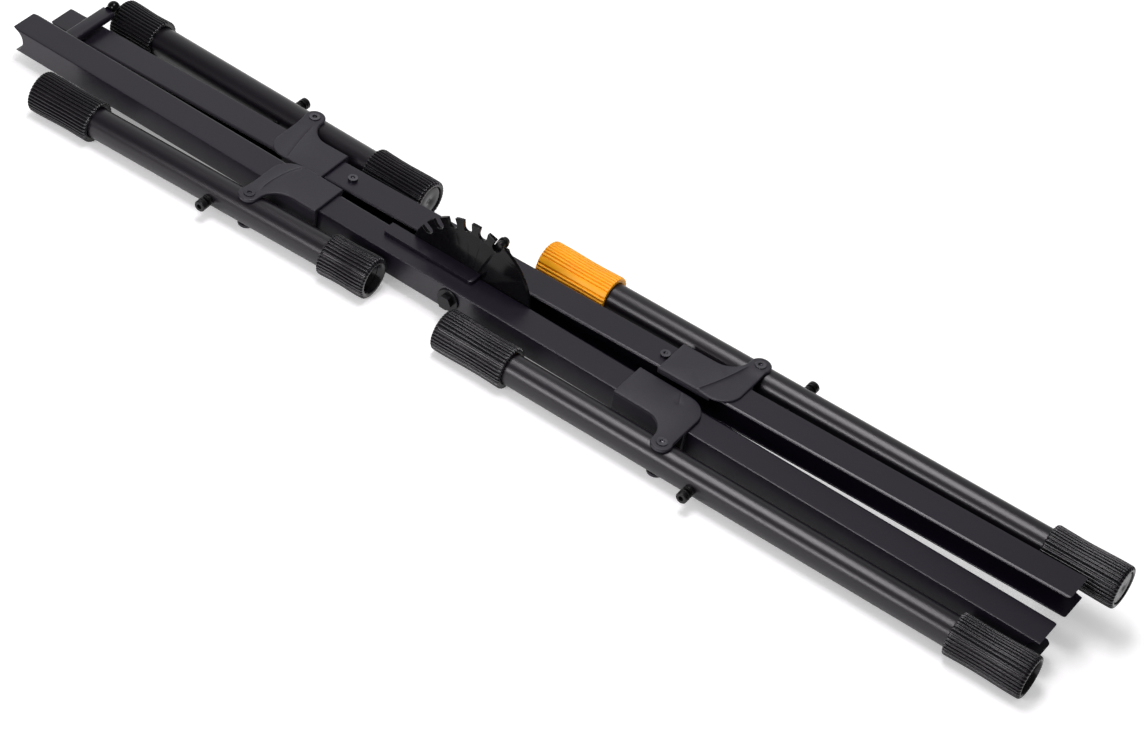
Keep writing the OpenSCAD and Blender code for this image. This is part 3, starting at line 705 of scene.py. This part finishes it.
def rib_furrows(yellow):
    """Depth of the furrows round a cap, from 0 to 1. A rib's section is half an ellipse: the depth is
    1 - sqrt(1 - (slope t)^2), with t from -1 to 1 across the pitch, and 1 where that root ends. The yellow
    cap's furrows differ in depth, as shallow + (1 - shallow) sin^2(change * rib), and miss a broad band."""
    turn = np.arange(RIBS * RIB_POINTS) / RIB_POINTS
    furrow = 1 - np.sqrt(np.maximum(1 - (FURROW_SLOPE * (2 * (turn % 1.0) - 1)) ** 2, 0))
    if yellow:
        off_band = np.abs(turn - RIBS * YELLOW_BAND_SHARE) > RIBS * YELLOW_BAND_WIDTH_SHARE / 2
        wave = np.sin(np.floor(turn) * YELLOW_CHANGE) ** 2
        furrow = furrow * off_band * (YELLOW_SHALLOW + (1 - YELLOW_SHALLOW) * wave)
    return furrow


def ribbed_cap(length, r, bore, end, furrow):
    """Cap round x with its open end at 0. The radius is
    r (1 - waist sin^2(pi (s - start))) - groove furrow(angle) cover(x): two bulges with a slight waist
    between them, cut by narrow furrows that run out over the closed end's rounding, where cover is
    1 - lost u^power, with u from 0 to 1."""
    rounding = r * ROUNDING_SHARE
    s = np.linspace(0, 1, CAP_RINGS)
    body = r * (1 - WAIST * np.sin(np.pi * (s - WAIST_START)) ** 2)
    side = np.column_stack([s * (length - rounding), body])
    corner = arc((length - rounding, body[-1] - rounding), rounding, 90, 0, ROUNDING_RINGS)[1:]
    floor = length - CAP_FLOOR
    throat = [[floor, 0], [floor, bore - 1.5], [floor - 1.0, bore - 1.0],
              [1.0, bore], [0.2, bore + 0.4], [0, bore + 0.9]]
    closed_end = np.array(END_PROFILES[end]) * [-1, r] + [length, 0]
    profile = np.concatenate([throat, [[0, body[0] - 0.5]], side[1:], corner, closed_end])
    first, last = len(throat), len(throat) + len(side) + len(corner)
    cover = np.zeros(len(profile))
    over_rounding = np.clip(1 - (length - profile[first:last, 0]) / rounding, 0, 1)
    cover[first:last] = 1 - RUN_OUT * over_rounding ** RUN_OUT_POWER
    return lathe(profile, len(furrow), -GROOVE * cover[:, None] * furrow[None, :])


def make_cap(source, place, tube_r, inner):
    yellow = source == "leveling_cap"
    lows, highs = place.extent(source)
    bore = tube_r + (TURNING_FIT if yellow else TIGHT_FIT)
    points, faces = ribbed_cap(highs[0] - lows[0], highs[1], bore, CAP_ENDS[source], rib_furrows(yellow))
    if inner:
        shell = points * [-1, 1, 1] + [highs[0], 0, 0], turned_over(faces)
    else:
        shell = points + [lows[0], 0, 0], faces
    finish_piece(source.replace("_cap", "_grip"), shell, place, source, smooth=55)


def make_caps():
    for limb, place in TUBES.items():
        tube_r = place.extent(limb + "_tube")[1][1]
        make_cap(limb + "_outer_cap", place, tube_r, inner=False)
        make_cap("leveling_cap" if limb == "far_leg" else limb + "_inner_cap", place, tube_r, inner=True)


make_caps()


# Carriages: moulded plates that hook round a beam and reach out over the tube

# Thickness of the plates and of the wall between beam and tube, and the play on the beam
PLATE = 2.6
SIDE_WALL = 4.6
SLIDE_GAP = 0.25
# Reach of the nose past the screw, the big corner beside the gap, and the concave fillet at the tube, as
# a share of the stretch from the wall to the screw
NOSE = 7.5
CORNER = 18.0
FILLET_SHARE = 0.95
# Size of the ear under the tube, as a share of the upper one's
LOW_EAR_SHARE = 0.8
# How far the lips hook down or up, and their width
LIP = 2.8
LIP_WIDTH = 3.5
# Roundings: of the top's rim, the undersides, the wall, the lips, and edges that hardly show or never do
TOP_ROUND = 1.1
UNDER_ROUND = 0.9
WALL_ROUND = 0.8
LIP_ROUND = 0.4
FINE_ROUND = 0.3
HIDDEN_ROUND = 0.2
# How far the wall, the lips and the under plate run into their neighbours, and the wall stays inside
WALL_OVERLAP = 0.3
LIP_OVERLAP = 0.2
UNDER_OVERLAP = 0.5
WALL_SETBACK = (0.4, 0.03)
# Play round the swivel screw's head in its recess
RECESS_PLAY = 0.2
# Points of a carriage's outline and of its smooth top: how far apart they are, and how far from lines,
# from the rim of the screw's recess and, for a crease's own points, from the gap and the screw's axis
OUTLINE_STEP = 1.5
SEED_STEP = 2.4
SEED_MARGIN = 1.2
RECESS_MARGIN = 2.0
CREASE_MARGIN = 1.5
CREASE_END_R = 6.5
# Closer points round the dimple, where they reach in x and y, and how far they stay from the gap
DIMPLE_STEP = 0.6
DIMPLE_FIELD = ((-6.0, 6.1), (-13.0, 6.1))
DIMPLE_MARGIN = 1.6
# Crease on each top: its end beside the screw, its middle and its end at the gap, with the height of
# the ridge (or the depth of the groove, when negative) that runs along it
CREASES = {
    "near_arm": ([(-5.2, 57.5), (-3.0, 36.0), (-11.5, 1.8)], 0.60),
    "far_arm": ([(-5.0, 55.0), (-8.4, 30.0), (-15.4, 1.8)], -0.60),
    "far_leg": ([(-5.6, 54.0), (-12.8, 25.5), (-22.0, 1.8)], 0.50),
}
# Lines of points that the crease runs on: how far beside it, and how many points each has
CREASE_LINES = (-1.1, -0.55, -0.25, 0, 0.25, 0.55, 1.1)
CREASE_POINTS = 40
# Half width of the ridge or groove
BELL = 0.7
# The top is sunk by this share of the ridge, which so stays near the solid's top
RIDGE_SINK = 0.3
# Beyond a crease the top falls away by one depth over one width, after a first small step
FALL, FALL_WIDTH = 0.9, 11.0
STEP, STEP_WIDTH = 0.15, 0.8
# Short of the screw the crease fades out over this length
FADE_START, FADE = 5.0, 9.0
# Moulding mark on the plain carriage: the middle of its dimple, the end of the line that leads to it, and
# the depth and half width of both
DIMPLE = (-13.3, 14.1)
DIMPLE_LINE_END = (-18.6, 3.0)
DISH, DISH_WIDTH = 0.35, 2.6
SCRATCH, SCRATCH_WIDTH = 0.22, 0.5


def carriage_outline(back, lip_in, side_out, reach, ear_r):
    """Plan of a carriage, anticlockwise from its square end on the gap side: straight along the gap, round
    the big corner, along the nose to the ear, round the ear, and back through the concave fillet."""
    fillet = (reach - side_out) * FILLET_SHARE
    # Where the ear is smaller than the nose's reach, the nose meets it at its widest
    nose = min(NOSE, ear_r * 0.999)
    return resampled(np.concatenate([
        [[-back, lip_in]],
        arc((NOSE - CORNER, lip_in + CORNER), CORNER, -90, 0, 33),
        arc((0, reach), ear_r, -math.degrees(math.acos(nose / ear_r)), 180, 41),
        arc((-ear_r - fillet, side_out + fillet), fillet, 0, -90, 25),
        [[-back, side_out]],
    ]), OUTLINE_STEP)


def circle_through(a, b, c):
    """Centre and radius of the circle through three points."""
    a, b, c = (np.asarray(p, float) for p in (a, b, c))
    centre = np.linalg.solve(2 * np.array([b - a, c - a]), np.array([b @ b - a @ a, c @ c - a @ a]))
    return centre, float(np.linalg.norm(a - centre))


def creased(limb, reach):
    """How far a carriage's top lies below its highest level, and the lines along its crease. Beyond the
    crease it falls away towards the nose as a quarter sine wave, and along the crease runs a ridge or
    groove with the section of a bell, height exp(-(distance / width)^2)."""
    (start, middle, end), ridge = CREASES[limb]
    centre, radius = circle_through(start, middle, end)
    side = 1 if centre[0] < middle[0] else -1

    def relief(x, y):
        beyond = side * (np.hypot(x - centre[0], y - centre[1]) - radius)
        fade = np.clip((reach - FADE_START - y) / FADE, 0, 1)
        fall = FALL * np.sin(np.pi / 2 * np.clip(beyond / FALL_WIDTH, 0, 1))
        step = STEP * np.clip(beyond / STEP_WIDTH, 0, 1)
        return fade * (fall + step - ridge * np.exp(-(beyond / BELL) ** 2)) + abs(ridge) * RIDGE_SINK

    angles = [math.degrees(math.atan2(*(np.asarray(p) - centre)[::-1])) for p in (start, end)]
    if abs(angles[1] - angles[0]) > 180:
        angles = [angle % 360 for angle in angles]
    return relief, [arc(centre, radius + side * beside, *angles, CREASE_POINTS) for beside in CREASE_LINES]


def dimpled(x, y):
    """A shallow dish in a plain top, with a scratch-like line leading to it, both with the section of a
    bell."""
    away = np.hypot(x - DIMPLE[0], y - DIMPLE[1])
    a, b = np.array(DIMPLE_LINE_END), np.array(DIMPLE)
    share = np.clip(((x - a[0]) * (b - a)[0] + (y - a[1]) * (b - a)[1]) / ((b - a) @ (b - a)), 0, 1)
    off_line = np.hypot(x - a[0] - share * (b - a)[0], y - a[1] - share * (b - a)[1])
    return DISH * np.exp(-(away / DISH_WIDTH) ** 2) + SCRATCH * np.exp(-(off_line / SCRATCH_WIDTH) ** 2)


def carriage_top(limb, outline, lip_in, reach, head_r, top):
    """Top plate with its relief and the recess of the swivel screw. Seeds and lines that would crowd the
    gap's edge or the recess are left out."""
    if limb in CREASES:
        relief, lines = creased(limb, reach)
        seeds = seeds_in(np.concatenate([outline] + lines), SEED_STEP, SEED_MARGIN)
    else:
        relief, lines = dimpled, []
        (x0, x1), (y0, y1) = DIMPLE_FIELD
        seeds = np.mgrid[x0:x1:DIMPLE_STEP, y0:y1:DIMPLE_STEP].reshape(2, -1).T + DIMPLE
        seeds = seeds[inside(outline, seeds) & (seeds[:, 1] > lip_in + DIMPLE_MARGIN)]

    def from_screw(plan):
        return np.hypot(plan[:, 0], plan[:, 1] - reach)

    seeds = seeds[from_screw(seeds) > head_r + RECESS_MARGIN]
    lines = [line[(line[:, 1] > lip_in + CREASE_MARGIN) & (from_screw(line) > CREASE_END_R)]
             for line in lines]
    well = (0.0, reach, head_r + RECESS_PLAY, PLATE / 2)
    return slab(outline, top - PLATE, top, TOP_ROUND, HIDDEN_ROUND, [well], lines, seeds, relief)


def moulded_carriage(limb):
    """Top plate, outer wall, lower ear, under plate and the two lips that hook round the flanges' edges."""
    side = SIDE_OF[limb]
    place = CARRIAGES[limb]
    lows, highs = place.extent(limb + "_carriage")
    reach = place.to_local(JOINTS[limb + "_swing"]["pos_m"])[1]
    head_r = place.extent(limb + "_screw")[1][1] - reach
    ear_r = highs[1] - reach
    web_out = SIDES[side].extent(side + "_beam")[1][1] + SLIDE_GAP
    side_out = web_out + SIDE_WALL
    lip_in, low, top = lows[1], lows[2], highs[2]
    outline = carriage_outline(-lows[0], lip_in, side_out, reach, ear_r)
    ear = clipped(carriage_outline(-lows[0], lip_in, side_out, reach, ear_r * LOW_EAR_SHARE), web_out, 1)
    under = clipped(outline, side_out - UNDER_OVERLAP, -1)
    wall_low = (lows[0], side_out - SIDE_WALL, low + WALL_OVERLAP)
    wall_high = (NOSE - WALL_SETBACK[0], side_out - WALL_SETBACK[1], top - PLATE + WALL_OVERLAP)
    shells = [
        carriage_top(limb, outline, lip_in, reach, head_r, top),
        slab(ear, low, low + PLATE, FINE_ROUND, UNDER_ROUND),
        slab(under, -top, PLATE - top, FINE_ROUND, UNDER_ROUND),
        box_shell(wall_low, wall_high, WALL_ROUND),
    ]
    inner = top - PLATE
    for z0, z1 in ((inner - LIP, inner + LIP_OVERLAP), (-inner - LIP_OVERLAP, LIP - inner)):
        lip_high = (NOSE - CORNER, lip_in + LIP_WIDTH, z1)
        shells.append(box_shell((lows[0], lip_in, z0), lip_high, LIP_ROUND))
    return joined(*shells)


def make_carriages():
    for limb, place in CARRIAGES.items():
        name = limb + "_moulded_carriage"
        finish_piece(name, moulded_carriage(limb), place, limb + "_carriage", smooth=38)


make_carriages()


# Pull pins: a turned knob with grooves and a hexagon socket, a collar, and a coil spring inside the tube

# Radius of the pin as a share of its knob's, and of the socket as a share of the pin's
PIN_SHARE = 1 / 1.9
SOCKET_SHARE = 0.85
SOCKET_STEPS = 48
SPRING_WIRE_R = 0.42
SPRING_TURNS = 4
WIRE_SIDES = 10
STEPS_PER_TURN = 24


def pull_pin(low, high, knob_r):
    """Turned profile round x from the pin's tip over its collar to the knob's face, in shares of the pin's
    radius. The rings of the socket have the radius of a hexagon, a / cos(angle from the nearest flat's
    middle)."""
    r = knob_r * PIN_SHARE
    collar, neck = -r, high - r * 3.5
    socket = r * SOCKET_SHARE
    profile = [
        [low, 0], [low, r * 0.7], [low + r * 0.3, r], [collar - r / 2, r], [collar - r / 2, r * 1.6],
        [collar, r * 1.6], [collar, r], [neck, r], [neck, knob_r - 0.5], [neck + 0.3, knob_r - 0.1],
        [neck + r * 0.45, knob_r - 0.1], [neck + r * 0.5, knob_r - 0.5], [neck + r * 0.52, r],
        [neck + r * 1.2, r], [neck + r * 1.2, knob_r - 0.5], [neck + r * 1.35, knob_r],
        [neck + r * 1.75, knob_r], [neck + r * 1.9, knob_r - 0.7], [neck + r * 2.1, knob_r - 0.7],
        [neck + r * 2.25, knob_r], [high - 0.6, knob_r], [high, knob_r - 0.6], [high, socket],
        [high - r, socket], [high - r, 0],
    ]
    angle = np.arange(SOCKET_STEPS) * 2 * np.pi / SOCKET_STEPS
    off_flat = (angle + np.pi / 6) % (np.pi / 3) - np.pi / 6
    ripple = np.zeros((len(profile), SOCKET_STEPS))
    ripple[-3:-1] = socket * (0.95 / np.cos(off_flat) - 1)
    return lathe(profile, SOCKET_STEPS, ripple)


def coil_spring(low, high, outer_r):
    """Wire swept along a helix (x rises evenly, y and z go round), with its ends closed by one face each.
    A ring of the wire is its centre + r (cos b * outwards + sin b * sideways)."""
    count = SPRING_TURNS * STEPS_PER_TURN + 1
    t = np.linspace(0, 1, count)
    turn = 2 * np.pi * SPRING_TURNS * t
    radius = outer_r - SPRING_WIRE_R
    x = low + SPRING_WIRE_R + (high - low - 2 * SPRING_WIRE_R) * t
    path = np.column_stack([x, radius * np.cos(turn), radius * np.sin(turn)])
    ahead = np.gradient(path, axis=0)
    ahead /= np.linalg.norm(ahead, axis=1)[:, None]
    out = np.column_stack([np.zeros(count), np.cos(turn), np.sin(turn)])
    side = np.cross(ahead, out)
    angle = (np.arange(WIRE_SIDES) * 2 * np.pi / WIRE_SIDES)[None, :, None]
    rings = path[:, None] + SPRING_WIRE_R * (np.cos(angle) * out[:, None] + np.sin(angle) * side[:, None])
    last = (count - 1) * WIRE_SIDES
    faces = grid_faces(count, WIRE_SIDES, False, True)
    faces += [list(range(WIRE_SIDES)), list(range(last, last + WIRE_SIDES))[::-1]]
    return rings.reshape(-1, 3), turned_over(faces)


def make_pins():
    for limb, place in TUBES.items():
        lows, highs = place.extent(limb + "_pull_pin")
        x, _, z = (lows + highs) / 2
        pin = pull_pin(lows[1], highs[1], (highs[2] - lows[2]) / 2)
        finish_piece(limb + "_turned_pin", along_y(pin, x, z), place, limb + "_pull_pin", smooth=40)
        lows, highs = place.extent(limb + "_pin_spring")
        spring = coil_spring(lows[1], highs[1], (highs[2] - lows[2]) / 2)
        finish_piece(limb + "_coil_spring", along_y(spring, x, z), place, limb + "_pin_spring", smooth=60)


make_pins()


# Ball catch on the fold bar

# Radius of the neck as a share of the ball's, and how much it widens at its root, over what length
NECK_SHARE = 0.5
NECK_FLARE = 1.35
FLARE_LENGTH = 0.8
BALL_STEPS = 64
BALL_POINTS = 40


def ball_catch(lows, highs):
    """Ball on a short neck, turned round y: the sphere's profile is a circular arc that starts where the
    neck, which flares a little at its root, meets it."""
    r = (highs[2] - lows[2]) / 2
    neck = r * NECK_SHARE
    start = math.degrees(math.asin(neck / r))
    ball = arc((highs[1] - r, 0), r, 180 - start, 0, BALL_POINTS)
    root = [[lows[1], 0], [lows[1], neck * NECK_FLARE], [lows[1] + FLARE_LENGTH, neck]]
    profile = np.concatenate([root, ball])
    return along_y(lathe(profile, BALL_STEPS), (lows[0] + highs[0]) / 2, highs[2] - r)


def make_ball():
    place = HALVES["near"]
    finish_piece("ball_catch", ball_catch(*place.extent("fold_ball")), place, "fold_ball", smooth=40)


make_ball()


# Stamped, forged and turned pieces keep the model's shape and get the eased edges of real ones

EDGE_EASE = {
    "notch_plate": 0.3, "plate_foot": 0.9, "fold_bar": 0.7, "pivot_bolt": 0.55, "pivot_nut": 0.5,
    "pivot_washers": 0.55, "near_bush": 0.3, "thrust_washer": 0.3, "far_bush": 0.3, "guide_pin": 0.25,
    "stop_screws": 0.35, "lock_slide": 0.35, "lock_pin": 0.3,
}
LIMB_EASE = {"screw": 0.3, "nut": 0.3, "pin_bush": 0.25}
EDGE_EASE.update({f"{limb}_{part}": width for part, width in LIMB_EASE.items() for limb in LIMBS})
# Finishes that the photograph shows to differ from the record's
FINISH_OF = {
    "plate_foot": "beam_powder_coat", "fold_bar": "beam_powder_coat", "lock_slide": "black_oxide_steel",
    "lock_pin": "black_oxide_steel", "near_arm_screw": "moulded_nylon",
}
EASED_ANGLE = 35


def make_eased_copies():
    for name, width in EDGE_EASE.items():
        mesh = frame["nodes"][name].data.copy()
        mesh.name = name + "_eased"
        weld(mesh)
        mesh.materials.clear()
        slot = FINISH_OF.get(name, SLOT_OF[name])
        piece = settled(name + "_eased", mesh, name, slot, EASED_ANGLE)
        eased(piece, width, EASED_ANGLE)


make_eased_copies()


# Studio

FLOOR_SIZE = 30.0
# Where the white side of the room lies, seen from the stand, and where it begins and is full, as the
# cosine of the angle away from it
BRIGHT_SIDE = (-0.8, 0.55, 0.25)
BRIGHT_FROM, BRIGHT_FULL = 0.45, 0.9


def by_ray(tree, soft, mirror, camera):
    """Three numbers: for soft light, for mirrors and glass, and for the camera."""
    path = node(tree, "LightPath", {})
    rays = {0: path.outputs["Is Glossy Ray"], 1: path.outputs["Is Transmission Ray"]}
    mirrored = node(tree, "Math", rays, operation="MAXIMUM").outputs[0]
    indirect = node(tree, "Mix", {"Factor": mirrored, "A": soft, "B": mirror}).outputs["Result"]
    ends = {"Factor": path.outputs["Is Camera Ray"], "A": indirect, "B": camera}
    return node(tree, "Mix", ends).outputs["Result"]


def add_stage():
    """Pale floor. To the camera and to mirrors it is lifted to white, and it still darkens in shadow."""
    bpy.ops.mesh.primitive_plane_add(size=FLOOR_SIZE, location=(0, 0, 0))
    floor = bpy.context.object
    floor.name = "studio_floor"
    material, tree, _ = new_material("white_sweep")
    matt = node(tree, "BsdfDiffuse", {"Color": linear("#f2f2f2")})
    strength = by_ray(tree, soft=0.0, mirror=0.2, camera=0.3)
    lift = node(tree, "Emission", {"Color": linear("#ffffff"), "Strength": strength})
    both = node(tree, "AddShader", {0: matt.outputs[0], 1: lift.outputs[0]})
    node(tree, "OutputMaterial", {"Surface": both.outputs[0]})
    floor.data.materials.append(material)


def add_softbox(name, location, size, power):
    """Area lamp aimed at the stand's middle, hidden from the camera."""
    data = bpy.data.lights.new(name, "AREA")
    data.shape = "RECTANGLE"
    data.size, data.size_y = size
    data.energy = power
    data.color = linear("#fffbff")[:3]
    lamp = bpy.data.objects.new(name, data)
    lamp.location = location
    lamp.rotation_euler = (-Vector(location)).to_track_quat("-Z", "Y").to_euler()
    lamp.visible_camera = False
    bpy.context.scene.collection.objects.link(lamp)


def add_world():
    """White to the camera. Mirrors see one white side, far and left, and a dim room all round: the
    brightness rises with the square of how squarely a ray meets that side."""
    world = bpy.data.worlds.new("studio")
    bpy.context.scene.world = world
    world.use_nodes = True
    tree = world.node_tree
    tree.nodes.clear()
    way = node(tree, "TexCoord", {}).outputs["Generated"]
    facing = node(tree, "VectorMath", {0: way, 1: BRIGHT_SIDE}, operation="DOT_PRODUCT").outputs["Value"]
    share = graded(tree, facing, 0.0, 1.0, BRIGHT_FROM, BRIGHT_FULL)
    square = node(tree, "Math", {0: share, 1: 2.0}, operation="POWER").outputs[0]
    strength = by_ray(tree, soft=0.45, mirror=graded(tree, square, 0.1, 0.85), camera=1.0)
    background = node(tree, "Background", {"Color": linear("#ffffff"), "Strength": strength})
    node(tree, "OutputWorld", {"Surface": background.outputs[0]})


add_stage()
add_world()
# One lamp overhead and a low one in front lay their highlights along the tubes as in the photograph
add_softbox("overhead_softbox", location=(-0.25, -0.08, 1.9), size=(1.1, 0.6), power=22.0)
add_softbox("front_softbox", location=(-0.3, -1.6, 0.68), size=(0.9, 0.4), power=14.0)

bpy.context.scene.view_settings.view_transform = "Standard"
